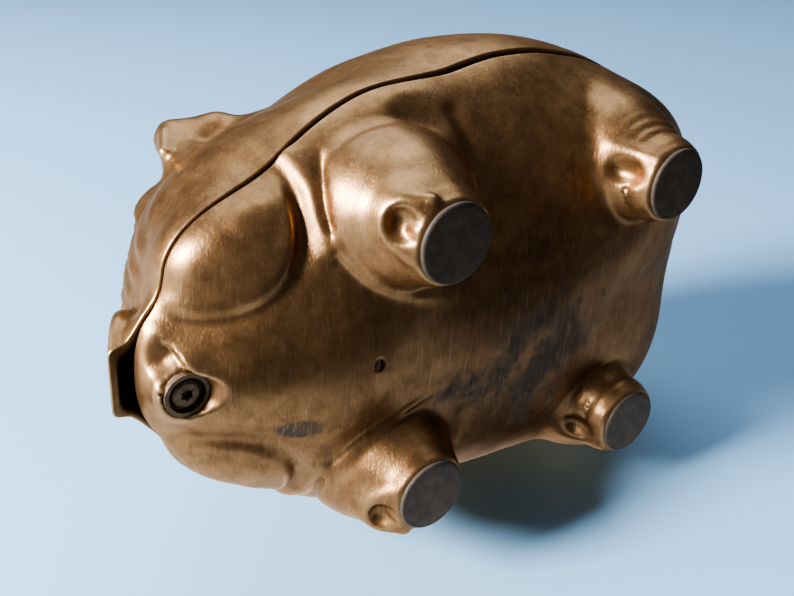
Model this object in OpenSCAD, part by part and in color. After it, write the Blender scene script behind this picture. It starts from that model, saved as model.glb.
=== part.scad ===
// Piggy bank: a hollow cast-brass pig in two shells, held together by one screw under the chin.
// Millimetres. The pig stands on its foot pads at Z = 0, nose towards -Y, its left side towards +X.

/* [Body] */
// widest distance from flank to flank
body_width = 152; // [146:1:164]
// length of the rounded body, without snout and tail
body_length = 207; // [201:1:219]
// height of the back above the ground
body_top = 128; // [122:1:136]
// clear height between the belly and the ground
belly_clearance = 12; // [10:0.5:14]
// thickness of the cast wall
wall = 2.2; // [1.8:0.1:3]

/* [Parting] */
// height of the seam between the shells, half way along the body
parting_height = 45.8; // [44:0.2:48]
// open gap left between the two shells at the seam
seam_gap = 0.6; // [0.4:0.1:1.2]

/* [Snout] */
// how far the snout stands forward of the body
snout_reach = 11; // [9:0.5:13]
// width of the snout's front face
snout_width = 27; // [24:0.5:32]
// height of the snout's front face
snout_height = 28; // [26:0.5:32]

/* [Coin slot] */
// length of the coin slot along the back
slot_length = 38; // [34:1:44]
// width of the coin slot
slot_width = 5; // [4.6:0.2:6]

/* [Feet] */
// radius of each round foot pad
pad_radius = 11.1; // [10:0.1:11.2]
// thickness of the foot pads
pad_thickness = 1.2; // [0.8:0.1:1.6]
// distance of the front feet from the middle plane
front_foot_x = 39.1; // [36:0.5:42]
// distance of the rear feet from the middle plane
rear_foot_x = 42.2; // [39:0.5:45]
// distance between front and rear feet
wheelbase = 84; // [78:1:90]

/* [Screw] */
// diameter of the screw's shank
screw_shank = 4; // [3.5:0.1:4.4]
// diameter of the screw's head
screw_head = 8; // [7.4:0.1:8.6]
// length of the screw's shank
screw_length = 20; // [18:0.5:21]

/* [Hidden] */
parting_slope = 0.06;
front_y = -102;
rear_y = front_y + body_length;
mid_z = 58;
front_foot_y = -36;
rear_foot_y = front_foot_y + wheelbase;
screw_y = -98;
seat_z = 28.9;
head_height = 2.6;
seat_radius = screw_head / 2 + 1;
bushing_radius = seat_radius + 1.1;
post_radius = 6;
post_top = 60;
running = 0.06;
bore_depth = 16;
blend = 12;
rows = 36;
cols = 60;
brass = [0.59, 0.43, 0.27];
steel = [0.27, 0.28, 0.30];
slate = [0.19, 0.19, 0.19];

// the rounded masses that make up the body: centre and half sizes; one off the middle plane has a twin
half_w = body_width / 2;
masses = [
    [[0, rear_y - 90, belly_clearance + 52], [half_w, 90, 52]],
    [[0, rear_y - 90, body_top - 52], [half_w - 5, 84, 52]],
    [[0, front_y + 49, 60], [61, 49, 45]],
    [[0, front_y + 19, 44], [30, 22, 24]],
    [[0, screw_y + 5, seat_z + 7], [15, 14.5, 13]],
    [[34, front_y + 38, 45], [25, 27, 23]],
    [[43, front_foot_y + 2, 37], [25, 25, 22]],
    [[45, rear_foot_y, 37], [26, 28, 23]],
];
twins = [for (m = masses) if (m[0][0] > 0) [[-m[0][0], m[0][1], m[0][2]], m[1]]];

function parting_z(y) = parting_height + parting_slope * y;
function over(a, b) = [a[0] / b[0], a[1] / b[1], a[2] / b[2]];
// how far along direction d, from the middle of the body, the surface of mass m lies
function reach(d, m, inset) = let (
    s = m[1] - [inset, inset, inset],
    u = over(d, s),
    o = over([0, 0, mid_z] - m[0], s),
    k = u * o,
    q = k * k - (u * u) * (o * o - 1)
) q > 0 ? max(0.01, (sqrt(q) - k) / (u * u)) : 0.01;
function body_point(a, e, inset) = let (
    d = [cos(a) * cos(e), sin(a) * cos(e), sin(e)],
    far = [for (m = concat(masses, twins)) pow(reach(d, m, inset) / 100, blend)]
) [0, 0, mid_z] + d * 100 * pow(far * [for (f = far) 1], 1 / blend);

// turn angle with the points closer together towards the head
function around(t) = t - 0.5 * cos(t) * 180 / PI;

// the whole body as one solid, its surface moved in by inset
module body(inset) {
    points = [for (r = [1 : rows - 1]) for (c = [0 : cols - 1])
        body_point(around(360 * c / cols), -90 + 180 * r / rows, inset)];
    low = len(points);
    last = (rows - 2) * cols;
    sides = [for (r = [0 : rows - 3]) for (c = [0 : cols - 1]) let (n = (c + 1) % cols)
        each [[r * cols + c, (r + 1) * cols + c, (r + 1) * cols + n],
              [r * cols + c, (r + 1) * cols + n, r * cols + n]]];
    caps = [for (c = [0 : cols - 1]) let (n = (c + 1) % cols)
        each [[low, c, n], [low + 1, last + n, last + c]]];
    polyhedron(concat(points, [body_point(0, -90, inset), body_point(0, 90, inset)]),
        concat(sides, caps), convexity = 4);
}

// everything above (side 1) or below (side -1) the parting plane, less half the seam gap
module half_space(side) {
    translate([0, 0, parting_z(0) + side * seam_gap / 2])
        rotate([atan(parting_slope), 0, 0])
            translate([-150, -200, side > 0 ? 0 : -200])
                cube([300, 400, 200]);
}

module disc_y(y, z, half_w, half_h) {
    translate([0, y, z])
        rotate([90, 0, 0])
            scale([half_w, half_h, 1])
                cylinder(h = 1, r = 1, $fn = 32);
}

module snout(inset) {
    z = parting_z(front_y) + 0.4 * snout_height;
    hull() {
        disc_y(front_y - snout_reach + 1 + inset, z, snout_width / 2 - inset, snout_height / 2 - inset);
        disc_y(front_y - snout_reach + 4, z, snout_width / 2 + 1 - inset, snout_height / 2 - inset);
        disc_y(front_y + 14, z + 2, snout_width / 2 + 10 - inset, snout_height / 2 + 6 - inset);
    }
}

module ear(side) {
    hull() {
        for (p = [[34, -70, 86, 4], [46, -42, 94, 5], [47, -64, 108, 3], [54, -55, 102, 3]])
            translate([side * p[0], p[1], p[2]])
                sphere(p[3], $fn = 24);
    }
}

module ear_hollow(side) {
    hull() {
        for (p = [[41, -77, 98, 2], [47, -76, 106, 2], [49, -66, 101, 2.5], [45, -69, 95, 2.5]])
            translate([side * p[0], p[1], p[2]])
                sphere(p[3], $fn = 20);
    }
}

// curled tail: beads on one turn of a spiral, joined in pairs
function tail_point(i) = [6 * sin(50 * i), rear_y - 3 + 1.15 * i, mid_z + 12 + 6 * cos(50 * i)];

module tail() {
    for (i = [0 : 7])
        hull() {
            translate(tail_point(i))
                sphere(3.4 - 0.22 * i, $fn = 16);
            translate(tail_point(i + 1))
                sphere(3.4 - 0.22 * (i + 1), $fn = 16);
        }
}

module outer_upper() {
    body(0);
    snout(0);
    for (side = [-1, 1]) {
        ear(side);
        translate([side * 26, -84, 82])
            sphere(4.5, $fn = 24);
    }
    tail();
}

// small block on the middle plane at the rear, following the curve of the wall between two insets
module rear_block(low, high, inset_out, inset_in) {
    intersection() {
        translate([-9, rear_y - 14, parting_z(rear_y) + low])
            cube([18, 14, high - low]);
        difference() {
            body(inset_out);
            body(inset_in);
        }
    }
}

module upper_shell() {
    color(brass)
        difference() {
            union() {
                intersection() {
                    difference() {
                        outer_upper();
                        body(wall);
                        snout(wall);
                        for (side = [-1, 1])
                            ear_hollow(side);
                    }
                    half_space(1);
                }
                // socket in the roof of the snout that the screw post is soldered into
                intersection() {
                    union() {
                        body(wall / 2);
                        snout(wall / 2);
                    }
                    translate([0, screw_y, post_top - 7])
                        cylinder(h = 60, r = post_radius + 2.2, $fn = 48);
                }
                // tongue that centres the rear of this shell inside the other
                rear_block(1, 7, wall / 2, wall + 2.8);
                rear_block(-5, 4, wall + 0.5, wall + 2.8);
            }
            translate([0, screw_y, post_top - 30])
                cylinder(h = 30, r = post_radius + 0.05, $fn = 64);
            hull() {
                for (end = [-1, 1])
                    translate([0, 20 + end * (slot_length - slot_width) / 2, body_top - 20])
                        cylinder(h = 40, r = slot_width / 2, $fn = 32);
            }
        }
}

module leg(x, y) {
    hull() {
        translate([x, y, pad_thickness])
            cylinder(h = 3, r = pad_radius + 0.3, $fn = 32);
        translate([x * 1.02, y, 14])
            cylinder(h = 1, r = pad_radius + 3.5, $fn = 32);
        translate([x * 1.06, y - 2, 32])
            sphere(20, $fn = 32);
    }
}

module leg_hollow(x, y) {
    hull() {
        translate([x, y, 9])
            cylinder(h = 3, r = pad_radius - 3, $fn = 32);
        translate([x * 1.06, y - 2, 32])
            sphere(17, $fn = 32);
    }
}

module each_foot() {
    for (side = [-1, 1])
        for (foot = [[front_foot_x, front_foot_y], [rear_foot_x, rear_foot_y]])
            translate([side * foot[0], foot[1], 0])
                children();
}

module lower_shell() {
    color(brass)
        difference() {
            union() {
                intersection() {
                    difference() {
                        union() {
                            body(0);
                            for (side = [-1, 1]) {
                                leg(side * front_foot_x, front_foot_y);
                                leg(side * rear_foot_x, rear_foot_y);
                                // lower lip
                                translate([side * 6, front_y + 1, 35])
                                    sphere(5, $fn = 24);
                            }
                        }
                        body(wall);
                        for (side = [-1, 1]) {
                            leg_hollow(side * front_foot_x, front_foot_y);
                            leg_hollow(side * rear_foot_x, rear_foot_y);
                        }
                    }
                    half_space(-1);
                }
                // thick ring in the chin that the bushing is soldered into
                intersection() {
                    body(0);
                    translate([0, screw_y, seat_z - 8])
                        cylinder(h = 15, r = bushing_radius + 2, $fn = 64);
                }
            }
            // dimple that parts the toes
            each_foot()
                translate([0, -pad_radius - 2.2, 5])
                    scale([1, 1, 1.6])
                        sphere(2.8, $fn = 24);
            translate([0, screw_y, seat_z - 20])
                cylinder(h = 40, r = bushing_radius + 0.05, $fn = 64);
        }
}

// turned ring with a seat for the screw's head and a plain bore for its shank
module chin_bushing() {
    color(brass)
        translate([0, screw_y, 0])
            rotate_extrude($fn = 96)
                polygon([
                    [seat_radius, seat_z - 3], [bushing_radius, seat_z - 3],
                    [bushing_radius, parting_z(screw_y - bushing_radius) - seam_gap / 2],
                    [screw_shank / 2 + running, parting_z(screw_y - bushing_radius) - seam_gap / 2],
                    [screw_shank / 2 + running, seat_z], [seat_radius, seat_z]
                ]);
}

// turned pillar that the screw pulls on, its bore open towards the chin
module screw_post() {
    foot_z = parting_z(screw_y + post_radius) + seam_gap / 2;
    color(brass)
        translate([0, screw_y, foot_z])
            difference() {
                cylinder(h = post_top - foot_z, r = post_radius, $fn = 96);
                translate([0, 0, -1])
                    cylinder(h = bore_depth + 1, r = screw_shank / 2 + running, $fn = 64);
            }
}

// six-lobed socket cut into the screw's head
module six_lobe(depth) {
    translate([0, 0, -0.1]) {
        cylinder(h = depth, r = 1.35, $fn = 48);
        for (k = [0 : 5])
            rotate([0, 0, 60 * k])
                translate([1.25, 0, 0])
                    cylinder(h = depth, r = 0.45, $fn = 24);
    }
}

module chin_screw() {
    color(steel)
        translate([0, screw_y, seat_z - head_height])
            difference() {
                union() {
                    rotate_extrude($fn = 64)
                        polygon([[0, 0], [screw_head / 2 - 0.9, 0], [screw_head / 2 - 0.25, 0.45],
                            [screw_head / 2, 1.1], [screw_head / 2, head_height], [0, head_height]]);
                    cylinder(h = head_height + screw_length - 0.6, r = screw_shank / 2, $fn = 64);
                    translate([0, 0, head_height + screw_length - 0.6])
                        cylinder(h = 0.6, r1 = screw_shank / 2, r2 = screw_shank / 2 - 0.6, $fn = 64);
                }
                six_lobe(1.7);
            }
}

module pad(x, y) {
    color(slate)
        translate([x, y, 0]) {
            cylinder(h = 0.4, r1 = pad_radius - 0.4, r2 = pad_radius, $fn = 96);
            translate([0, 0, 0.4])
                cylinder(h = pad_thickness - 0.4, r = pad_radius, $fn = 96);
        }
}

upper_shell();
lower_shell();
screw_post();
chin_bushing();
chin_screw();
pad(front_foot_x, front_foot_y);  // pad_front_left
pad(-front_foot_x, front_foot_y);  // pad_front_right
pad(rear_foot_x, rear_foot_y);  // pad_rear_left
pad(-rear_foot_x, rear_foot_y);  // pad_rear_right
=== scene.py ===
"""A cast brass piggy bank in two shells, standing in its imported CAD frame.

The camera is turned so that the pig seems to lie on its side, feet towards the eye.
"""

import math

import bmesh
import bpy
import numpy as np
from mathutils import Matrix, Vector


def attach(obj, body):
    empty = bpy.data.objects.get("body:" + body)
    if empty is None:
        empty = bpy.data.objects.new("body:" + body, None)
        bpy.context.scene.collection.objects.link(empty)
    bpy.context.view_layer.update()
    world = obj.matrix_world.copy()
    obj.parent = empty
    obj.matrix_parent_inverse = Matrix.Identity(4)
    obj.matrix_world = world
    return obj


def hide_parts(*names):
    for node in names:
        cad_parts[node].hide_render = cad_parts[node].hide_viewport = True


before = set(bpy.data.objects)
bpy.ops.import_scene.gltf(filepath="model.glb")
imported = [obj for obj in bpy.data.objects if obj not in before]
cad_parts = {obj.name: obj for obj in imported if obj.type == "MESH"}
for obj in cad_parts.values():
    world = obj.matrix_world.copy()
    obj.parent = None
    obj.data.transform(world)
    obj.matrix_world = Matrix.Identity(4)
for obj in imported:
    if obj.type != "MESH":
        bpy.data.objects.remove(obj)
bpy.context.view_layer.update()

MM = 0.001
# the join between the shells in mm: its height at mid length, and how it rises to the rear
PART_Z = 45.8
PART_SLOPE = 0.06
# the open line along the join: its width at the front, how far in front of mid length that
# is, and how much each side falls away per mm
GAP = 0.8
FRONT = 100
GAP_SLOPE = 0.005
# the thickness of a shell, and the radius of its rounded rim
WALL = 2.2
RIM_ROUND = 0.55
# how many grid steps lie between the first, rough samples of a shape
COARSE = 4


# ---- Shape functions: distances in millimetres, negative inside ----


def egg(p, centre, radii, up=None):
    """An ellipsoid, with another height above its centre if up is given."""
    q = p - np.array(centre, float)
    r = np.empty_like(q)
    r[:, 0] = radii[0]
    r[:, 1] = radii[1]
    r[:, 2] = np.where(q[:, 2] < 0, radii[2], up or radii[2])
    k0 = np.sqrt(((q / r) ** 2).sum(1)) + 1e-9
    k1 = np.sqrt(((q / r / r) ** 2).sum(1)) + 1e-9
    return k0 * (k0 - 1) / k1


def limb(p, a, b, ra, rb):
    """A round-ended cone from a to b."""
    a = np.array(a, float)
    along = np.array(b, float) - a
    t = np.clip(((p - a) @ along) / (along @ along), 0, 1)
    return np.linalg.norm(p - a - t[:, None] * along, axis=1) - (ra + (rb - ra) * t)


def trail(p, points):
    """The distance from a line through the points."""
    d = np.full(len(p), 1e3)
    for a, b in zip(points[:-1], points[1:]):
        d = np.minimum(d, limb(p, a, b, 0, 0))
    return d


def join(a, b, soft):
    """The union of two shapes with a soft inside corner."""
    h = np.clip(0.5 + 0.5 * (b - a) / soft, 0, 1)
    return b + (a - b) * h - soft * h * (1 - h)


def carve(a, b, soft):
    """Shape a without shape b, with a soft edge."""
    return -join(-a, b, soft)


def ramp(x, low, high):
    """A smooth step from 0 at low to 1 at high."""
    t = np.clip((x - low) / (high - low), 0, 1)
    return t * t * (3 - 2 * t)


def hump(d, width):
    """A bell that is 1 on a line and fades over the width."""
    return np.exp(-((d / width) ** 2))


def both(p):
    """The points folded onto the pig's left side, because its two sides are alike."""
    m = p.copy()
    m[:, 0] = np.sqrt(m[:, 0] ** 2 + 0.04)
    return m


def trunk(p, m):
    """The body and head without their small forms."""
    q = p.copy()
    q[:, 1] += 0.0038 * np.maximum(p[:, 2] - 58, 0) ** 2
    d = egg(q, (0, 17, 58), (76.5, 95.5, 46), up=70)
    d = join(d, egg(m, (27, -30, 48), (42, 40, 28)), 9)
    d = join(d, egg(p, (0, -51, 58), (57, 49.5, 44)), 12)
    c = m.copy()
    c[:, 0] += 3.4 * ramp(-p[:, 0], 2, 22)
    d = join(d, egg(c, (26, -70, 44), (20, 28.5, 18)), 7)
    d = join(d, egg(m, (10, -79, 41), (17.5, 26.3, 12)), 5)
    return join(d, egg(m, (28, 50, 38), (36, 44, 23.5)), 10)


def ripple(p):
    """The slow unevenness of a hand-finished casting."""
    x, y, z = p.T
    one = np.sin(0.11 * x + 0.07 * y + 1.0) * np.sin(0.09 * y - 0.12 * z)
    two = np.sin(0.21 * x - 0.16 * y + 0.6) * np.sin(0.19 * z + 0.14 * y + 2.0)
    return 0.22 * one + 0.12 * two


def cheek(m, d):
    """The heavy cheek, with a step behind and under it where the neck begins."""
    low = 1 - ramp(m[:, 2], 31, 42)
    s = 29 - np.hypot(m[:, 0] - 45, m[:, 1] + 92)
    d = d - 1.2 * ramp(s, 0, 6) * low
    behind = ramp(m[:, 0] * 0.5 + m[:, 1] * 0.5, -28, -12)
    d = d + (0.5 + 1.5 * behind) * hump(s - 1.0, 2.7) * low
    pat = egg(m, (47, -78, 28), (9, 8, 9))
    return d - 0.5 * ramp(-pat, -2, 3)


SNOUT = np.array([0, -113.2, 39.5])
LEAN = math.radians(25)


def snout(p, m):
    """An oval drum, leaning back, with a rolled front edge."""
    q = p - SNOUT
    up = q[:, 1] * math.sin(LEAN) + q[:, 2] * math.cos(LEAN)
    back = q[:, 1] * math.cos(LEAN) - q[:, 2] * math.sin(LEAN)
    wide = 12.6 + 0.75 * np.maximum(back - 4, 0) * (1 - ramp(up, 2, 20))
    s = (np.sqrt((q[:, 0] / wide) ** 2 + ((up - 10) / 15.0) ** 2) - 1) * 13
    s = s - 1.7 * hump(back - 2.0, 2.4) * ramp(up, 3, 11)
    drum = -join(-s, back, 1.4)
    return np.maximum(drum, back - 20)


def face(m, d):
    """Brows, closed eyes and the folds that run from them down to the snout."""
    d = join(d, egg(m, (25, -78, 85), (9, 9, 7)), 6)
    d = carve(d, limb(m, (16, -93.5, 77), (29, -84.5, 77), 1.0, 1.0), 1.0)
    d = join(d, egg(m, (23, -86, 73.5), (6, 5, 4)), 2)
    across = 0.80 * (m[:, 0] - 12) - 0.6 * (m[:, 1] + 98)
    span = hump(across - 1, 9) * hump(m[:, 1] + 93, 15) * ramp(m[:, 2], 52, 64)
    folds = np.sin(across * 1.55 + 0.4 * np.sin(m[:, 2] * 0.2))
    d = d - 0.6 * folds * span
    bridge = np.sin(1.25 * (m[:, 1] * 0.5 + m[:, 2] * 0.86 - 12))
    middle = hump(m[:, 0], 8) * hump(m[:, 2] - 72, 9) * ramp(-m[:, 1], 85, 95)
    return d - 0.45 * bridge * middle


def ear(m):
    """A broad lobe folded forward, hollow in front."""
    d = limb(m, (37, -70, 84), (42, -69, 100.5), 8.0, 4.8)
    d = join(d, limb(m, (43, -47, 87), (44, -54, 95), 8.5, 5.5), 12)
    d = join(d, limb(m, (42, -66, 99.5), (44, -57, 96.5), 5, 5), 7)
    d = carve(d, limb(m, (34, -82, 90), (39, -76.5, 99), 4, 2.2), 2.0)
    return join(d, trail(m, [(43, -76.5, 88), (46, -73, 96), (45.5, -70, 101)]) - 1.6, 3)


def tail(p):
    """A flat curl on the rump."""
    d = np.full(len(p), 1e3)
    for i in range(14):
        line = []
        for k in (i, i + 1):
            a = 0.3 + k * 0.5
            r = 9.5 - k * 0.42
            line.append((r * math.cos(a) - 1, 107.5 + k * 0.25, 84 + r * math.sin(a)))
        d = np.minimum(d, limb(p, line[0], line[1], 3.4 - i * 0.12, 3.3 - i * 0.12))
    return d


def upper(p):
    """The outside of the back shell: body, snout, face, ears and tail."""
    m = both(p)
    d = trunk(p, m) + ripple(p)
    d = join(d, snout(p, m), 3.5)
    d = carve(d, egg(m, (4.6, -110.5, 51), (2.3, 6, 3.4)), 1.2)
    d = face(m, d)
    return join(join(d, ear(m), 4), tail(p), 1.5)


def front_leg(m):
    """Shoulder and front hoof, with the arch over the cleft between its toes."""
    d = egg(m, (39.5, -37, 31.5), (22, 24, 26))
    rho = np.hypot(m[:, 0] - 39.1, m[:, 1] + 36)
    size = 11.9 + 1.3 * ramp(m[:, 2], 1, 6) + 0.25 * np.maximum(m[:, 2] - 6, 0)
    d = join(d, np.maximum(rho - size, m[:, 2] - 26), 7)
    d = join(d, egg(m, (44.5, -45, 11), (8.5, 8.5, 8)), 4)
    arch = [(36, -46.8, 4), (39.5, -50.0, 8.5), (45.5, -51.2, 10.5)]
    arch += [(50, -47.5, 8), (50.6, -43, 3.5)]
    d = join(d, trail(m, arch) - 1.7, 1.8)
    d = carve(d, egg(m, (45.2, -50.8, 3.4), (5.4, 4.2, 5.8)), 1.5)
    return join(d, egg(m, (43.4, -46.4, 4.0), (1.6, 1.5, 2.8)), 1.6)


def rear_leg(m):
    """Thigh and rear hoof, with a keel in front and wrinkles outside."""
    d = egg(m, (43, 48, 33), (22, 22, 27))
    rho = np.hypot(m[:, 0] - 42.2, m[:, 1] - 48)
    size = 12.0 + 1.5 * ramp(m[:, 2], 1, 6) + 0.22 * np.maximum(m[:, 2] - 8, 0)
    d = join(d, np.maximum(rho - size, m[:, 2] - 26), 4)
    outer = ramp(0.85 * (m[:, 0] - 42) + 0.5 * (m[:, 1] - 48), 3, 10)
    d = d - 0.2 * np.sin(m[:, 2] * 2.1 + 0.12 * m[:, 1]) * outer * hump(m[:, 2] - 10, 5)
    d = join(d, trail(m, [(51, 35, 16), (50.5, 38.2, 9), (50, 40, 3)]) - 1.5, 3.0)
    d = carve(d, egg(m, (45.2, 33.4, 8.5), (3.6, 3.4, 6)), 2.5)
    d = join(d, egg(m, (39.5, 39.5, 5), (4.5, 3.5, 5)), 2)
    return carve(d, limb(m, (36, 37.3, 9), (40, 35.2, 8.5), 0.6, 0.6), 1.2)


def legs(m):
    """All four legs, cut flat for their pads."""
    d = np.minimum(front_leg(m), rear_leg(m))
    return -join(-d, m[:, 2] - 1.2, 0.9)


def chin(p):
    """The jaw, and the blunt chin round the screw."""
    d = egg(p, (0, -79, 41), (21, 24, 21.5))
    away = np.hypot(p[:, 0], p[:, 1] + 97.3) - 5.2
    above = 29.4 - p[:, 2]
    knob = np.hypot(np.maximum(away, 0), np.maximum(above, 0))
    knob = knob + np.minimum(np.maximum(away, above), 0) - 3.6
    return join(d, knob, 6)


def under_lip(p, d):
    """The hollow between the lip and the throat, on the left of the screw."""
    q = p - np.array([10.5, -98.8, 31.0])
    s = q @ np.array([-0.727, -0.619, 0.273])
    along = q @ np.array([-0.583, 0.364, -0.727])
    span = ramp(along, -7, 0) * (1 - ramp(along, 7, 12))
    return d + 1.6 * ramp(s, -0.6, 0.8) * (1 - ramp(s, 3.5, 9)) * span


def lower(p):
    """The outside of the belly shell: body, chin, cheeks, lip, folds and legs."""
    m = both(p)
    d = trunk(p, m) + ripple(p)
    d = join(d, chin(p), 7)
    d = cheek(m, d)
    lip = [(12, -100.2, 38), (7, -102.0, 37), (0, -102.6, 36.5), (-8, -101.2, 37)]
    d = under_lip(p, join(d, trail(p, lip) - 2.6, 4.0))
    # the seat of the screw and its collar
    seat = np.maximum(np.hypot(p[:, 0], p[:, 1] + 98) - 6.15, p[:, 2] - 28)
    d = carve(d, seat, 0.5)
    d = carve(d, limb(p, (0, -97.6, 25.5), (0, -95.8, 19), 5.3, 7.4), 0.8)
    # the neck fold and the crease between it and the shoulder
    fold = [(53, -61.8, 40), (47, -61.0, 31), (40, -60.8, 25.5), (34, -60.5, 21.5)]
    d = d - 1.7 * hump(trail(m, fold), 2.6)
    crease = [(54, -55, 36), (49, -57.5, 30), (43, -59, 25.5), (36, -58.5, 21)]
    # the hollow above the front leg, and the lines behind and inside it
    d = carve(d, egg(m, (66.5, -26, 27), (7, 9, 7)), 7)
    d = join(d, legs(m), 2.2)
    ends = ramp(m[:, 2], 19, 25) * (1 - ramp(m[:, 2], 31, 39))
    d = d + 1.4 * hump(trail(m, crease), 2.0) * ends
    behind = [(62, -13.5, 34), (57, -12.5, 29), (48, -11.5, 23), (38, -11.5, 18), (28, -13, 15)]
    d = d + 1.3 * hump(trail(m, behind), 2.6)
    ring = [(38, -60.5, 21), (33, -58, 18.5), (26, -52, 16)]
    ring += [(20, -42, 14.5), (15.5, -27, 13.5), (15.5, -16, 13)]
    return d - 0.8 * hump(trail(m, ring), 1.8)


# ---- Turning a shape function into a mesh ----


def grid_values(shape, low, step, counts):
    """The shape on a grid, worked out fully only near its surface."""
    rough = [low[i] + step * np.arange(counts[i])[::COARSE] for i in range(3)]
    corners = np.stack(np.meshgrid(*rough, indexing="ij"), -1).reshape(-1, 3)
    value = shape(corners).reshape([len(r) for r in rough])
    near = np.abs(value) < COARSE * step * 2.2
    for axis in range(3):
        wider = near.copy()
        first = [slice(None)] * 3
        second = [slice(None)] * 3
        first[axis] = slice(1, None)
        second[axis] = slice(None, -1)
        wider[tuple(first)] |= near[tuple(second)]
        wider[tuple(second)] |= near[tuple(first)]
        near = wider
    for axis in range(3):
        near = near.repeat(COARSE, axis)
    sign = np.where(value < 0, -1e3, 1e3)
    for axis in range(3):
        sign = sign.repeat(COARSE, axis)
    cut = tuple(slice(0, n) for n in counts)
    full, near = sign[cut].astype(np.float32), near[cut]
    full[near] = shape(np.array(low) + np.argwhere(near) * step)
    return full


def surface(shape, low, high, step):
    """A mesh of the surface: one point for each grid cell that it passes through."""
    counts = np.ceil((np.array(high) - low) / step / COARSE).astype(int) * COARSE + 1
    value = grid_values(shape, low, step, counts)
    inside = value < 0
    offsets = [(i, j, k) for i in (0, 1) for j in (0, 1) for k in (0, 1)]
    size = counts - 1
    total = np.zeros(size, np.int8)
    for o in offsets:
        total += inside[tuple(slice(o[a], o[a] + size[a]) for a in range(3))]
    cells = np.argwhere((total > 0) & (total < 8))
    number = np.full(size, -1, np.int64)
    number[tuple(cells.T)] = np.arange(len(cells))
    corner = [value[tuple((cells + o).T)].astype(float) for o in offsets]
    place = np.zeros((len(cells), 3))
    met = np.zeros(len(cells))
    for a in range(8):
        for b in range(a + 1, 8):
            if np.abs(np.subtract(offsets[a], offsets[b])).sum() != 1:
                continue
            crossed = (corner[a] < 0) != (corner[b] < 0)
            t = corner[a] / np.where(crossed, corner[a] - corner[b], 1)
            spot = np.array(offsets[a]) + t[:, None] * np.subtract(offsets[b], offsets[a])
            place += np.where(crossed[:, None], spot, 0)
            met += crossed
    points = np.array(low) + (cells + place / met[:, None]) * step
    quads = []
    for axis in range(3):
        first = [slice(None)] * 3
        second = [slice(None)] * 3
        first[axis] = slice(None, -1)
        second[axis] = slice(1, None)
        edge = np.argwhere(inside[tuple(first)] != inside[tuple(second)])
        b, c = (axis + 1) % 3, (axis + 2) % 3
        keep = (edge[:, b] > 0) & (edge[:, c] > 0)
        keep &= (edge[:, b] < size[b]) & (edge[:, c] < size[c])
        edge = edge[keep]
        ring = []
        for db, dc in ((-1, -1), (0, -1), (0, 0), (-1, 0)):
            cell = edge.copy()
            cell[:, b] += db
            cell[:, c] += dc
            ring.append(number[tuple(cell.T)])
        ring = np.stack(ring, 1)
        out = ~inside[tuple(edge.T)]
        ring[out] = ring[out][:, ::-1]
        quads.append(ring)
    return points, np.concatenate(quads)


def slope(shape, points, reach=0.05):
    """The direction in which the shape grows, which is its outward normal."""
    g = np.empty_like(points)
    for axis in range(3):
        move = np.zeros(3)
        move[axis] = reach
        g[:, axis] = (shape(points + move) - shape(points - move)) / (2 * reach)
    return g


def settle(shape, points, quads, step, rounds=2):
    """Evens out the mesh and brings its points onto the surface."""
    for _ in range(rounds):
        total = np.zeros_like(points)
        count = np.zeros(len(points))
        for a in range(4):
            one, two = quads[:, a], quads[:, (a + 1) % 4]
            for axis in range(3):
                total[:, axis] += np.bincount(one, points[two, axis], len(points))
                total[:, axis] += np.bincount(two, points[one, axis], len(points))
            count += np.bincount(one, minlength=len(points))
            count += np.bincount(two, minlength=len(points))
        points = points + 0.5 * (total / np.maximum(count, 1)[:, None] - points)
        g = slope(shape, points)
        far = shape(points) / np.maximum((g * g).sum(1), 0.1)
        points = points - g * np.clip(far, -0.7 * step, 0.7 * step)[:, None]
    return points


def cut_mesh(shape, low, high, step, side, lift):
    """The surface above (side 1) or below (side -1) the join plane, as a bmesh in mm."""
    points, quads = surface(shape, np.array(low, float), high, step)
    points = settle(shape, points, quads, step)
    mesh = bpy.data.meshes.new("work")
    mesh.from_pydata(points.tolist(), [], quads.tolist())
    bm = bmesh.new()
    bm.from_mesh(mesh)
    bpy.data.meshes.remove(mesh)
    centre, normal = join_plane(side, lift)
    bmesh.ops.bisect_plane(
        bm,
        geom=bm.verts[:] + bm.edges[:] + bm.faces[:],
        dist=1e-5,
        plane_co=centre,
        plane_no=normal * side,
        clear_inner=True,
    )
    return bm


def join_plane(side, lift):
    """A point and the upward normal of one half's edge plane; the gap opens to the rear."""
    rise = PART_SLOPE + side * GAP_SLOPE
    normal = Vector((0, -rise, 1)).normalized()
    z = PART_Z + side * (GAP / 2 + FRONT * GAP_SLOPE + lift)
    return Vector((0, 0, z)), normal


def open_edges(bm):
    """The edges with a face on one side only."""
    return [e for e in bm.edges if e.is_boundary]


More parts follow.
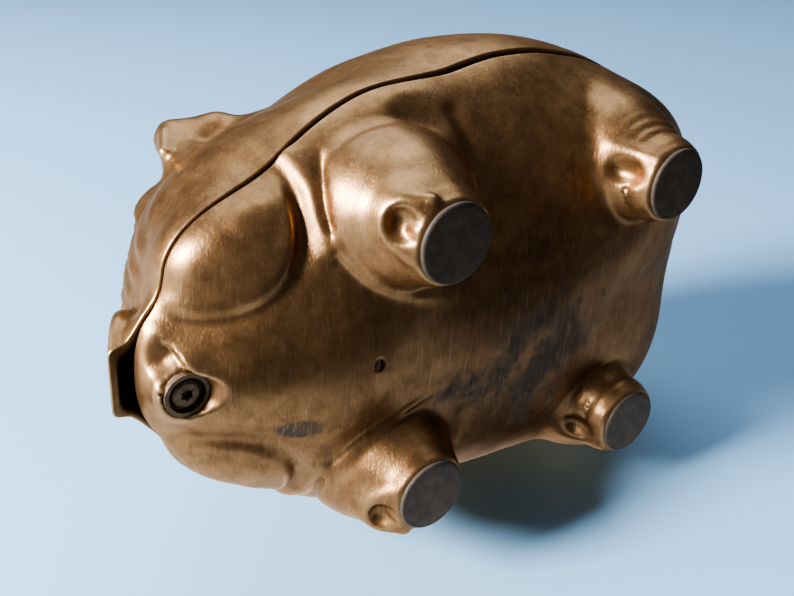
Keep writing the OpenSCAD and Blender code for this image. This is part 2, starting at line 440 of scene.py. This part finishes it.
def shell_mesh(name, outside, inside, low, high, side, step):
    """A closed half shell: outer skin, rolled edge, flat rim and inner skin."""
    outer = cut_mesh(outside, low, high, step, side, RIM_ROUND)
    normal = join_plane(side, 0)[1]
    rim = open_edges(outer)
    points = list({v for e in rim for v in e.verts})
    outer.normal_update()
    place = np.array([v.co for v in points])
    push = slope(outside, place)
    push -= (push @ np.array(normal))[:, None] * np.array(normal)
    push /= np.linalg.norm(push, axis=1)[:, None]
    inward = {v: -Vector(n) for v, n in zip(points, push)}
    for turn in (30, 60, 90):
        a = math.radians(turn)
        b = math.radians(turn - 30)
        grown = bmesh.ops.extrude_edge_only(outer, edges=rim)["geom"]
        fresh = [g for g in grown if isinstance(g, bmesh.types.BMVert)]
        old = {tuple(np.round(v.co, 5)): v for v in inward}
        moved = {}
        for v in fresh:
            start = old[tuple(np.round(v.co, 5))]
            moved[v] = inward[start]
        for v, way in moved.items():
            v.co += way * RIM_ROUND * (math.cos(b) - math.cos(a))
            v.co -= normal * side * RIM_ROUND * (math.sin(a) - math.sin(b))
        rim = [g for g in grown if isinstance(g, bmesh.types.BMEdge) and g.is_boundary]
        inward = moved
    # the inner skin is plainer, so its mesh is coarser
    inner = cut_mesh(inside, low, high, max(step * 1.9, 1.6), side, 0.0)
    bmesh.ops.reverse_faces(inner, faces=inner.faces[:])
    held = bpy.data.meshes.new("held")
    inner.to_mesh(held)
    inner.free()
    before = set(outer.faces)
    outer.from_mesh(held)
    bpy.data.meshes.remove(held)
    # the material is darker where "inner" is 1, and half dark on the rim
    layer = outer.verts.layers.float.new("inner")
    for f in outer.faces:
        if f not in before:
            for v in f.verts:
                v[layer] = 1.0
    for e in open_edges(outer):
        for v in e.verts:
            v[layer] = max(v[layer], 0.45)
    bmesh.ops.triangle_fill(outer, edges=open_edges(outer), normal=-normal * side)
    bmesh.ops.recalc_face_normals(outer, faces=outer.faces[:])
    mesh = bpy.data.meshes.new(name)
    for v in outer.verts:
        v.co *= MM
    outer.to_mesh(mesh)
    left = len(open_edges(outer))
    outer.free()
    mesh.polygons.foreach_set("use_smooth", [True] * len(mesh.polygons))
    print(name, len(mesh.polygons), "faces,", left, "open edges")
    made = bpy.data.objects.new(name, mesh)
    bpy.context.scene.collection.objects.link(made)
    return made


# ---- Materials ----


def nodes_of(name):
    """A new material, its node tree and its main shader."""
    material = bpy.data.materials.new(name)
    material.use_nodes = True
    tree = material.node_tree
    return material, tree, tree.nodes["Principled BSDF"]


def add(tree, kind, **values):
    """A node with the given inputs and settings."""
    node = tree.nodes.new(kind)
    for key, value in values.items():
        if key in node.inputs:
            node.inputs[key].default_value = value
        else:
            setattr(node, key, value)
    return node


def noise(tree, where, scale, detail=4.0, rough=0.55, warp=0.0):
    """Cloudy noise at the given scale, as a number."""
    node = add(tree, "ShaderNodeTexNoise", Scale=scale, Detail=detail)
    node.inputs["Roughness"].default_value = rough
    node.inputs["Distortion"].default_value = warp
    tree.links.new(where, node.inputs["Vector"])
    return node.outputs[0]


def bands(tree, value, stops):
    """A colour ramp through the stops, as (place, colour) pairs."""
    node = tree.nodes.new("ShaderNodeValToRGB")
    ramp_of = node.color_ramp
    while len(ramp_of.elements) < len(stops):
        ramp_of.elements.new(0.5)
    for element, (place, colour) in zip(ramp_of.elements, stops):
        element.position = place
        if np.isscalar(colour):
            colour = (colour, colour, colour)
        element.color = (*colour, 1)
    tree.links.new(value, node.inputs[0])
    return node.outputs[0]


def blend_in(tree, amount, one, two, kind="MIX"):
    """Colour two laid over colour one by the amount."""
    node = tree.nodes.new("ShaderNodeMix")
    node.data_type = "RGBA"
    node.blend_type = kind
    for socket, value in ((0, amount), (6, one), (7, two)):
        if isinstance(value, bpy.types.NodeSocket):
            tree.links.new(value, node.inputs[socket])
        elif socket == 0:
            node.inputs[socket].default_value = value
        elif np.isscalar(value):
            node.inputs[socket].default_value = (value, value, value, 1)
        else:
            node.inputs[socket].default_value = (*value, 1)
    return node.outputs[2]


def sums(tree, kind, one, two):
    """Two numbers or sockets added, multiplied or compared, as kind says."""
    node = tree.nodes.new("ShaderNodeMath")
    node.operation = kind
    for i, value in enumerate((one, two)):
        if isinstance(value, bpy.types.NodeSocket):
            tree.links.new(value, node.inputs[i])
        else:
            node.inputs[i].default_value = value
    return node.outputs[0]


def stretched(tree, where, scale, turn):
    """The coordinates, turned and scaled."""
    node = tree.nodes.new("ShaderNodeMapping")
    node.inputs["Scale"].default_value = scale
    node.inputs["Rotation"].default_value = turn
    tree.links.new(where, node.inputs[0])
    return node.outputs[0]


def spot(tree, where, centre, size, soft=0.5):
    """1 near a place in the frame and 0 away from it, given in millimetres."""
    node = tree.nodes.new("ShaderNodeMapping")
    node.inputs["Location"].default_value = [-c / s for c, s in zip(centre, size)]
    node.inputs["Scale"].default_value = [1000 / s for s in size]
    tree.links.new(where, node.inputs[0])
    length = tree.nodes.new("ShaderNodeVectorMath")
    length.operation = "LENGTH"
    tree.links.new(node.outputs[0], length.inputs[0])
    return bands(tree, length.outputs["Value"], [(soft, 1.0), (1.0, 0.0)])


def scratches(tree, where, turn, scale, low, high):
    """Short fine lines lying one way, 1 on a scratch."""
    lines = noise(tree, stretched(tree, where, (0.05, 1, 1), turn), scale, 3, 0.6, 0.15)
    return bands(tree, lines, [(low, 0.0), (high, 1.0)])


def brass(name):
    """Old cast brass: warm brown, rubbed bright on its high places, with painted shade in its folds.
    """
    material, tree, base = nodes_of(name)
    where = tree.nodes.new("ShaderNodeTexCoord").outputs["Object"]
    base.inputs["Specular Tint"].default_value = (0.80, 0.74, 0.68, 1)
    cloud = noise(tree, where, 26, 7, 0.62, 0.4)
    fine = noise(tree, where, 190, 6, 0.66)
    browns = [(0.32, (0.220, 0.112, 0.050)), (0.5, (0.330, 0.175, 0.078))]
    browns += [(0.68, (0.45, 0.255, 0.120))]
    colour = bands(tree, cloud, browns)
    speck = bands(tree, fine, [(0.36, (0.13, 0.060, 0.025)), (0.6, (0.56, 0.33, 0.155))])
    colour = blend_in(tree, 0.28, colour, speck)

    # rubbed edges, and painted shade that darkens the folds
    edge = tree.nodes.new("ShaderNodeNewGeometry").outputs["Pointiness"]
    fold_shade = bands(tree, edge, [(0.40, 1.0), (0.49, 0.0)])
    rub = bands(tree, edge, [(0.51, 0.0), (0.60, 1.0)])
    colour = blend_in(tree, sums(tree, "MULTIPLY", fold_shade, 0.85), colour, (0.055, 0.034, 0.020))
    colour = blend_in(tree, sums(tree, "MULTIPLY", rub, 0.6), colour, (0.80, 0.56, 0.31))

    # the dark tarnish under the rear of the belly, broken into flakes; it is heavier on the belly's
    # low right side, where it is also painted shade
    flakes = noise(tree, where, 75, 9, 0.72, 0.5)
    wide = noise(tree, where, 19, 4, 0.6, 0.6)
    tarnish_shade_area = spot(tree, where, (-14, 8, 14), (54, 60, 34), 0.15)
    tarnish_shade_level = sums(tree, "MULTIPLY", flakes, 0.55)
    tarnish_shade_level = sums(tree, "ADD", tarnish_shade_level, sums(tree, "MULTIPLY", wide, 0.6))
    tarnish_shade_level = sums(tree, "ADD", tarnish_shade_level, sums(tree, "MULTIPLY", tarnish_shade_area, 0.33))
    tarnish_and_shade = bands(tree, tarnish_shade_level, [(0.80, 0.0), (0.90, 1.0)])
    veil_and_shade = bands(tree, tarnish_shade_level, [(0.58, 0.0), (0.84, 0.85)])
    colour = blend_in(tree, veil_and_shade, colour, (0.160, 0.092, 0.052))
    colour = blend_in(tree, tarnish_and_shade, colour, (0.105, 0.072, 0.052))
    # one deep pit, whose near-black colour is painted shade inside it, and a dark smear beside the
    # chin
    shaded_pit = spot(tree, where, (0.9, -48, 13.7), (2.6, 2.2, 3), 0.6)
    smear = spot(tree, where, (-16, -69.4, 19.1), (3.6, 8.5, 5), 0.75)
    smear = sums(tree, "MULTIPLY", smear, bands(tree, fine, [(0.36, 0.3), (0.5, 0.9)]))
    colour = blend_in(tree, smear, colour, (0.075, 0.065, 0.055))
    colour = blend_in(tree, shaded_pit, colour, (0.012, 0.010, 0.008))

    # brushed lines round the body, and looser ones across them
    brushed = scratches(tree, where, (0, 0, 0.05), 1500, 0.50, 0.66)
    loose = scratches(tree, where, (0.4, 0.7, 0.9), 700, 0.60, 0.70)
    cross = scratches(tree, where, (0.2, -0.5, 2.1), 620, 0.61, 0.70)
    marks = sums(tree, "MAXIMUM", loose, cross)
    marks = sums(tree, "MAXIMUM", sums(tree, "MULTIPLY", brushed, 0.55), marks)
    colour = blend_in(tree, sums(tree, "MULTIPLY", marks, 0.22), colour, (0.70, 0.48, 0.27))

    inner = add(tree, "ShaderNodeAttribute", attribute_name="inner").outputs["Fac"]
    colour = blend_in(tree, inner, colour, (0.035, 0.025, 0.02))
    tree.links.new(colour, base.inputs["Base Color"])
    tree.links.new(bands(tree, tarnish_shade_level, [(0.78, 0.90), (0.90, 0.35)]), base.inputs["Metallic"])
    rough = bands(tree, cloud, [(0.3, 0.40), (0.7, 0.30)])
    rough = blend_in(tree, sums(tree, "MAXIMUM", tarnish_and_shade, inner), rough, 0.62)
    rough = blend_in(tree, sums(tree, "MULTIPLY", fine, 0.3), rough, 0.5)
    tree.links.new(rough, base.inputs["Roughness"])

    grain = noise(tree, where, 520, 4, 0.65)
    lumps = noise(tree, where, 70, 4, 0.55)
    height = sums(tree, "MULTIPLY", grain, 0.10)
    height = sums(tree, "ADD", height, sums(tree, "MULTIPLY", lumps, 0.75))
    height = sums(tree, "SUBTRACT", height, sums(tree, "MULTIPLY", marks, 0.10))
    height = sums(tree, "SUBTRACT", height, sums(tree, "MULTIPLY", shaded_pit, 1.5))
    height = sums(tree, "ADD", height, sums(tree, "MULTIPLY", tarnish_and_shade, 0.05))
    bump = add(tree, "ShaderNodeBump", Strength=0.45, Distance=0.0006)
    tree.links.new(height, bump.inputs["Height"])
    tree.links.new(bump.outputs[0], base.inputs["Normal"])
    return material


def plain(name, colour, rough, metallic, scale=300, depth=0.3):
    """A finish with a mottled colour and a fine grain."""
    material, tree, base = nodes_of(name)
    where = tree.nodes.new("ShaderNodeTexCoord").outputs["Object"]
    mottle = noise(tree, where, scale, 5, 0.6)
    dark = tuple(c * 0.6 for c in colour)
    light = tuple(min(c * 1.5, 1) for c in colour)
    tinted = bands(tree, mottle, [(0.3, dark), (0.7, light)])
    tree.links.new(tinted, base.inputs["Base Color"])
    base.inputs["Metallic"].default_value = metallic
    spread = bands(tree, mottle, [(0.3, rough - 0.08), (0.7, rough + 0.08)])
    tree.links.new(spread, base.inputs["Roughness"])
    bump = add(tree, "ShaderNodeBump", Strength=depth, Distance=0.0003)
    tree.links.new(mottle, bump.inputs["Height"])
    tree.links.new(bump.outputs[0], base.inputs["Normal"])
    return material


# ---- The pieces ----

STEP = 1.0
# the back is the larger shell, and a coarser step keeps its face count in bounds
BACK_STEP = STEP * 1.08
BACK_BOX = ((-92, -124, 33), (92, 128, 138))
BELLY_BOX = ((-92, -124, -4), (92, 128, 58))


def skin_in(shape):
    """The inner skin of a shape, one wall thickness inside it."""
    return lambda p: shape(p) + WALL


back = shell_mesh("back_shell", upper, skin_in(upper), *BACK_BOX, 1, BACK_STEP)
belly = shell_mesh("belly_shell", lower, skin_in(lower), *BELLY_BOX, -1, STEP)
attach(back, "back")
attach(belly, "belly")
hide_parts("upper_shell")
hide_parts("lower_shell")
back.data.materials.append(brass("old_brass_back"))
belly.data.materials.append(brass("old_brass_belly"))

# the coin slot in mm: its middle, the half length of its straight part, and its end radius
SLOT_Y = 20
SLOT_HALF = 16.5
SLOT_RADIUS = 2.5
SLOT_SIDES = 24


def slot_cutter():
    """The rounded bar that cuts the coin slot through the back."""
    bm = bmesh.new()
    rings = []
    for z in (96, 150):
        ring = []
        for k in range(SLOT_SIDES):
            a = 2 * math.pi * (k + 0.5) / SLOT_SIDES
            y = SLOT_Y + math.copysign(SLOT_HALF, math.sin(a)) + SLOT_RADIUS * math.sin(a)
            ring.append(bm.verts.new((SLOT_RADIUS * MM * math.cos(a), y * MM, z * MM)))
        rings.append(ring)
    for i in range(SLOT_SIDES):
        j = (i + 1) % SLOT_SIDES
        bm.faces.new((rings[0][i], rings[0][j], rings[1][j], rings[1][i]))
    bm.faces.new(rings[0][::-1])
    bm.faces.new(rings[1])
    mesh = bpy.data.meshes.new("slot_cutter")
    bm.to_mesh(mesh)
    bm.free()
    made = bpy.data.objects.new("slot_cutter", mesh)
    bpy.context.scene.collection.objects.link(made)
    return made


def cut_out(piece, cutter):
    """Takes the cutter's shape out of the piece for good."""
    step = piece.modifiers.new("cut", "BOOLEAN")
    step.operation = "DIFFERENCE"
    step.solver = "EXACT"
    step.object = cutter
    seen = piece.evaluated_get(bpy.context.evaluated_depsgraph_get())
    made = bpy.data.meshes.new_from_object(seen)
    piece.modifiers.clear()
    old = piece.data
    piece.data = made
    bpy.data.meshes.remove(old)
    bpy.data.objects.remove(cutter)


cut_out(back, slot_cutter())


PAD_THICK = 1.2
PAD_WEAR = 0.06


def pad_piece(name, node, centre, seed):
    """A thin round foot pad, slightly domed below, with an unevenly worn rounded edge."""
    rng = np.random.default_rng(seed)
    profile = [(0.0, 0.06), (4.0, 0.05), (7.5, 0.04), (9.8, 0.03), (10.5, 0.10)]
    profile += [(10.9, 0.28), (11.08, 0.55), (11.1, 0.85), (11.05, 1.12), (10.8, PAD_THICK)]
    sides = 72
    bm = bmesh.new()
    height, phase = [rng.uniform(-1, 1, 3) for k in range(2)]
    rings = []
    for r, z in profile[1:]:
        wear = PAD_WEAR * ramp(np.array([r]), 8, 11)[0]
        ring = []
        for k in range(sides):
            a = 2 * math.pi * k / sides
            worn = sum(height[i] * math.sin((i + 2) * a + 3 * phase[i]) for i in range(3))
            out = (r - abs(wear * worn)) * MM
            ring.append(bm.verts.new((out * math.cos(a), out * math.sin(a), z * MM)))
        rings.append(ring)
    middle = bm.verts.new((0, 0, profile[0][1] * MM))
    top = bm.verts.new((0, 0, PAD_THICK * MM))
    for i in range(sides):
        j = (i + 1) % sides
        bm.faces.new((middle, rings[0][j], rings[0][i]))
        for low, high in zip(rings[:-1], rings[1:]):
            bm.faces.new((low[i], low[j], high[j], high[i]))
        bm.faces.new((rings[-1][i], rings[-1][j], top))
    bmesh.ops.recalc_face_normals(bm, faces=bm.faces)
    mesh = bpy.data.meshes.new(name)
    bm.to_mesh(mesh)
    bm.free()
    for face in mesh.polygons:
        face.use_smooth = True
    made = bpy.data.objects.new(name, mesh)
    made.location = (centre[0] * MM, centre[1] * MM, 0)
    bpy.context.scene.collection.objects.link(made)
    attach(made, "belly")
    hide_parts(node)
    return made


def rubber():
    """Old dark rubber, scuffed grey all over and darker towards its rounded edge."""
    material, tree, base = nodes_of("foot_rubber")
    where = tree.nodes.new("ShaderNodeTexCoord").outputs["Object"]
    mottle = noise(tree, where, 260, 7, 0.68, 0.4)
    cloud = noise(tree, where, 90, 4, 0.6)
    colour = bands(tree, mottle, [(0.32, (0.105, 0.078, 0.060)), (0.66, (0.215, 0.165, 0.125))])
    colour = blend_in(tree, sums(tree, "MULTIPLY", cloud, 0.5), colour, (0.16, 0.125, 0.098))
    rim = spot(tree, where, (0, 0, 0), (11.4, 11.4, 40), 0.82)
    edge = sums(tree, "SUBTRACT", 1.0, rim)
    colour = blend_in(tree, sums(tree, "MULTIPLY", edge, 0.85), colour, (0.030, 0.025, 0.020))
    lines = scratches(tree, where, (0, 0, 0.5), 900, 0.60, 0.70)
    colour = blend_in(tree, sums(tree, "MULTIPLY", lines, 0.4), colour, (0.19, 0.19, 0.18))
    tree.links.new(colour, base.inputs["Base Color"])
    rough = bands(tree, mottle, [(0.3, 0.75), (0.7, 0.58)])
    tree.links.new(rough, base.inputs["Roughness"])
    bump = add(tree, "ShaderNodeBump", Strength=0.5, Distance=0.0003)
    tree.links.new(mottle, bump.inputs["Height"])
    tree.links.new(bump.outputs[0], base.inputs["Normal"])
    return material


foot_rubber = rubber()
for side, x in (("left", 1), ("right", -1)):
    for end, ax, ay in (("front", 39.1, -36), ("rear", 42.2, 48)):
        node = f"pad_{end}_{side}"
        pad = pad_piece("foot_" + node, node, (x * ax, ay), int(ax) + x)
        pad.data.materials.append(foot_rubber)

turned = plain("turned_brass", (0.45, 0.31, 0.17), 0.35, 1.0)
steel = plain("dark_steel", (0.24, 0.170, 0.115), 0.50, 0.85, 500, 0.9)
for node, material in (("screw_post", turned), ("chin_bushing", steel), ("chin_screw", steel)):
    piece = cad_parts[node]
    piece.data.materials.clear()
    piece.data.materials.append(material)

# ---- Camera, stage and light ----

# the camera's place in metres, the way it looks and the way that is down in its picture
EYE = Vector((0.12471, -0.17228, -0.15688))
AHEAD = Vector((-0.43971, 0.54069, 0.71715)).normalized()
DOWN = Vector((-0.89600, -0.20901, -0.39179))
DOWN = (DOWN - AHEAD * DOWN.dot(AHEAD)).normalized()
RIGHT = DOWN.cross(AHEAD)

camera_data = bpy.data.cameras.new("camera")
camera_data.sensor_width = 36
camera_data.lens = 40.8
camera_data.clip_start = 0.01
camera_data.clip_end = 50
camera = bpy.data.objects.new("camera", camera_data)
axes = Matrix((RIGHT, -DOWN, -AHEAD)).transposed().to_4x4()
camera.matrix_world = Matrix.Translation(EYE) @ axes
bpy.context.scene.collection.objects.link(camera)
bpy.context.scene.camera = camera


def sheet_mesh(name, centre, normal, size):
    """A big flat square facing along the normal."""
    turn = Vector(normal).to_track_quat("Z", "Y").to_matrix().to_4x4()
    corners = [Vector((x, y, 0)) * size for x, y in ((-1, -1), (1, -1), (1, 1), (-1, 1))]
    mesh = bpy.data.meshes.new(name)
    mesh.from_pydata([tuple(c) for c in corners], [], [(0, 1, 2, 3)])
    made = bpy.data.objects.new(name, mesh)
    made.matrix_world = Matrix.Translation(Vector(centre)) @ turn
    bpy.context.scene.collection.objects.link(made)
    return made


def trim_below(sheet, z):
    """Cuts a sheet off at a height, as at a table's near edge."""
    bm = bmesh.new()
    bm.from_mesh(sheet.data)
    back_turn = sheet.matrix_world.inverted()
    bmesh.ops.bisect_plane(
        bm,
        geom=bm.verts[:] + bm.edges[:] + bm.faces[:],
        plane_co=back_turn @ Vector((0, 0, z)),
        plane_no=back_turn.to_3x3() @ Vector((0, 0, 1)),
        clear_inner=True,
    )
    bm.to_mesh(sheet.data)
    bm.free()


def stage_paint(name, colour, bounce=None):
    """Pale matt card, seen from its front only and darkened towards +y as painted shade; bounce is
    the colour of the light it throws back, while the camera sees the given colour.
    """
    material, tree, base = nodes_of(name)
    place = tree.nodes.new("ShaderNodeSeparateXYZ")
    position = tree.nodes.new("ShaderNodeNewGeometry").outputs["Position"]
    tree.links.new(position, place.inputs[0])
    # painted shade: the card darkens by a fifth towards +y, the pig's rear
    darker = tuple(c * 0.80 for c in colour)
    along = sums(tree, "ADD", place.outputs["Y"], 0.15)
    painted_falloff = bands(tree, along, [(0.0, colour), (0.7, darker)])
    if bounce is not None:
        straight = tree.nodes.new("ShaderNodeLightPath").outputs["Is Camera Ray"]
        painted_falloff = blend_in(tree, straight, bounce, painted_falloff)
    tree.links.new(painted_falloff, base.inputs["Base Color"])
    base.inputs["Roughness"].default_value = 0.75
    base.inputs["Specular IOR Level"].default_value = 0.15
    clear = tree.nodes.new("ShaderNodeBsdfTransparent")
    mix = tree.nodes.new("ShaderNodeMixShader")
    back_side = tree.nodes.new("ShaderNodeNewGeometry").outputs["Backfacing"]
    tree.links.new(back_side, mix.inputs[0])
    tree.links.new(base.outputs[0], mix.inputs[1])
    tree.links.new(clear.outputs[0], mix.inputs[2])
    tree.links.new(mix.outputs[0], tree.nodes["Material Output"].inputs[0])
    return material


# The floor is under the feet and shows from above. The camera is below it and sees only the
# table, which the pig's right side lies on.
floor = sheet_mesh("floor", (0, 0, 0), (0, 0, 1), 4)
floor.data.materials.append(stage_paint("pale_floor", (0.66, 0.76, 0.88)))
table = sheet_mesh("table", (-0.0772, 0.01, 0.057), (0.998, -0.059, 0.024), 6)
trim_below(table, -0.078)
# painted light: the camera sees the table a strong blue that stands in for sky light on the card,
# while it throws back grey
table.data.materials.append(stage_paint("pale_table", (0.36, 0.66, 1.0), (0.40, 0.46, 0.52)))
# two lights stand behind the table, and the floor takes no part in lighting the pig
table.visible_shadow = False
for kind in ("diffuse", "glossy", "transmission", "shadow"):
    setattr(floor, f"visible_{kind}", False)


def area_light(name, towards, distance, size, power, colour):
    """A round soft light that points at the middle of the pig."""
    data = bpy.data.lights.new(name, "AREA")
    data.shape = "DISK"
    data.size = size
    data.energy = power
    data.color = colour
    made = bpy.data.objects.new(name, data)
    way = Vector(towards).normalized()
    made.location = Vector((0, 0, 0.05)) + way * distance
    made.rotation_euler = way.to_track_quat("Z", "Y").to_euler()
    bpy.context.scene.collection.objects.link(made)


area_light("key", (0.42, -0.89, 0.11), 1.6, 0.5, 84, (1.0, 0.98, 0.96))
area_light("sky", (0.88, 0.20, 0.43), 1.9, 2.0, 23, (0.76, 0.88, 1.0))
area_light("top", (-0.35, 0.55, 0.8), 1.8, 1.2, 24, (0.92, 0.96, 1.0))
area_light("far", (-0.85, 0.20, 0.45), 1.8, 1.4, 45, (1.0, 0.98, 0.95))

world = bpy.data.worlds.new("studio")
world.use_nodes = True
bpy.context.scene.world = world
world_tree = world.node_tree
sky = world_tree.nodes["Background"]
sky.inputs["Color"].default_value = (0.80, 0.80, 0.82, 1)
# dim as a light, brighter where it is seen past the stage
seen = world_tree.nodes.new("ShaderNodeLightPath").outputs["Is Camera Ray"]
strength = sums(world_tree, "ADD", sums(world_tree, "MULTIPLY", seen, 0.55), 0.10)
world_tree.links.new(strength, sky.inputs["Strength"])

bpy.context.scene.view_settings.look = "AgX - Medium High Contrast"
